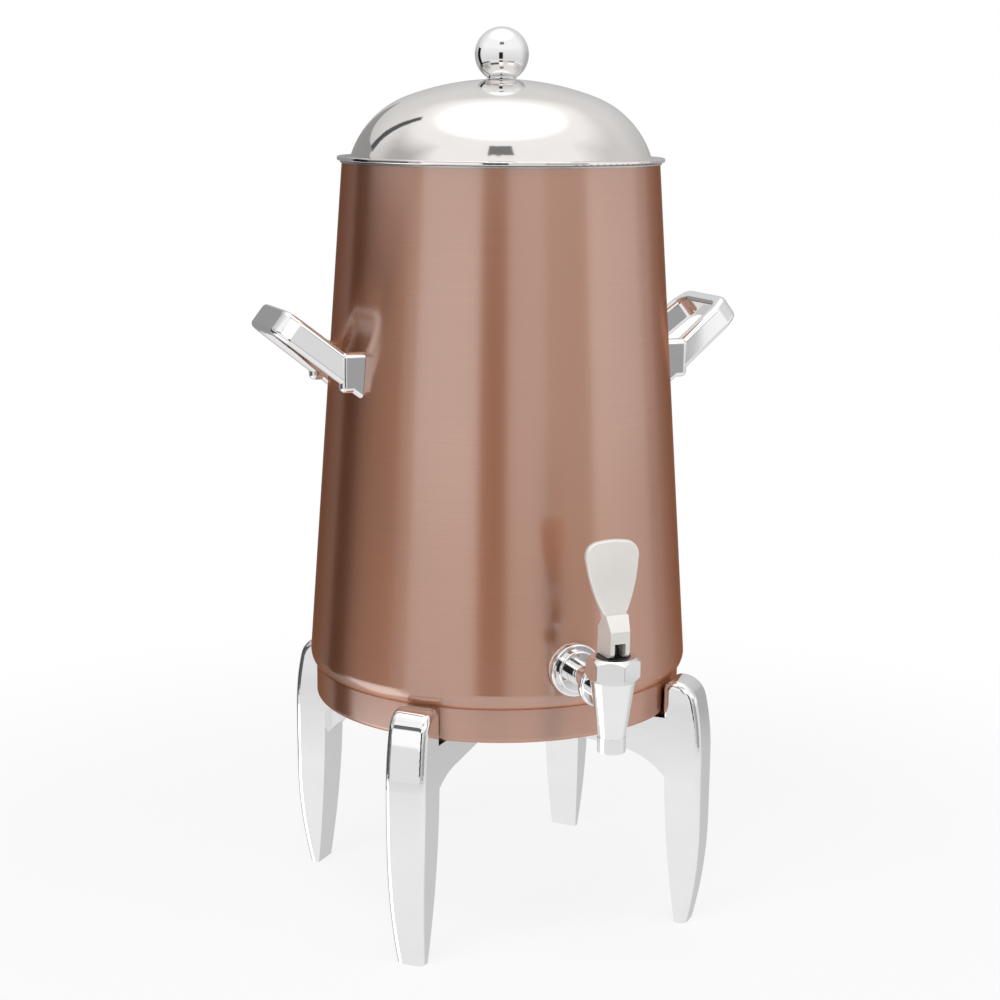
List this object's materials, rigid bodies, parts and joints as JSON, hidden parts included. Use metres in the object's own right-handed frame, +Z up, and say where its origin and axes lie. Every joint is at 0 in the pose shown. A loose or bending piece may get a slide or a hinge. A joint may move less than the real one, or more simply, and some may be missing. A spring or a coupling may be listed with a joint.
{
  "type": "electric beverage dispenser",
  "caption": "Tapered copper-finished beverage urn on polished splayed legs, with a domed lid, loop handles and a lever tap; heats its tank from the base.",
  "frame": {"origin": "on the floor under the body's axis, between the feet", "axes": "+Z up along the body's axis, -Y towards the tap, X through the two handles"},
  "size_m": [0.3184, 0.3178, 0.5737],
  "materials": {
    "copper_finish": "satin copper colour, brushed round the axis",
    "polished_steel": "polished",
    "chrome_plate": "polished",
    "stainless": "satin",
    "pearl_coat": "satin pearl",
    "black_plastic": "satin",
    "black_rubber": "matte",
    "silicone": "matte",
    "felt": "matte",
    "lead_brown": "matte",
    "lead_blue": "matte",
    "lead_green": "matte"
  },
  "bodies": {
    "urn": {"base_pan": "copper_finish", "outer_shell": "copper_finish", "inner_tank": "stainless", "wall_insulation": "felt", "tank_support": "stainless", "handle_left": "chrome_plate", "handle_right": "chrome_plate", "handle_screws": "stainless", "leg_front_left": "chrome_plate", "leg_front_right": "chrome_plate", "leg_rear_left": "chrome_plate", "leg_rear_right": "chrome_plate", "leg_pads": "black_rubber", "leg_bolts": "stainless", "leg_nuts": "stainless", "tap_flange": "chrome_plate", "tap_gaskets": "silicone", "tap_spacer": "silicone", "tap_nut": "stainless", "tap_body": "chrome_plate", "tap_nozzle": "chrome_plate", "tap_bonnet": "chrome_plate", "tap_gland": "black_plastic", "tap_spring": "stainless", "heating_element": "stainless", "element_clamp": "stainless", "clamp_nut": "stainless", "thermostat": "black_plastic", "thermal_cutout": "black_plastic", "terminal_block": "black_plastic", "live_leads": "lead_brown", "neutral_lead": "lead_blue", "earth_lead": "lead_green", "power_inlet": "black_plastic", "inlet_screws": "stainless"},
    "lid": {"lid_dome": "polished_steel", "lid_locating_ring": "stainless", "lid_knob": "chrome_plate", "knob_screw": "stainless"},
    "tap_valve": {"tap_stem": "black_plastic", "tap_seat_cup": "silicone"},
    "tap_lever": {"tap_handle": "pearl_coat", "tap_handle_pin": "stainless"}
  },
  "joints": [
    {"name": "lid_lift", "type": "slide", "parent": "urn", "child": "lid", "axis": [0, 0, 1], "range_m": [0, 0.15]},
    {"name": "tap_lift", "type": "slide", "parent": "urn", "child": "tap_valve", "axis": [0, 0, 1], "range_m": [0, 0.004], "stiffness_N_per_m": 800, "springref_m": -0.005, "deforming": ["tap_spring"]},
    {"name": "tap_tilt", "type": "hinge", "parent": "tap_valve", "child": "tap_lever", "pos_m": [0, -0.178, 0.2155], "axis": [1, 0, 0], "range_deg": [0, 45]}
  ],
  "couplings": [
    {"joint": "tap_tilt", "follows": "tap_lift", "rad_per_m": 196}
  ]
}
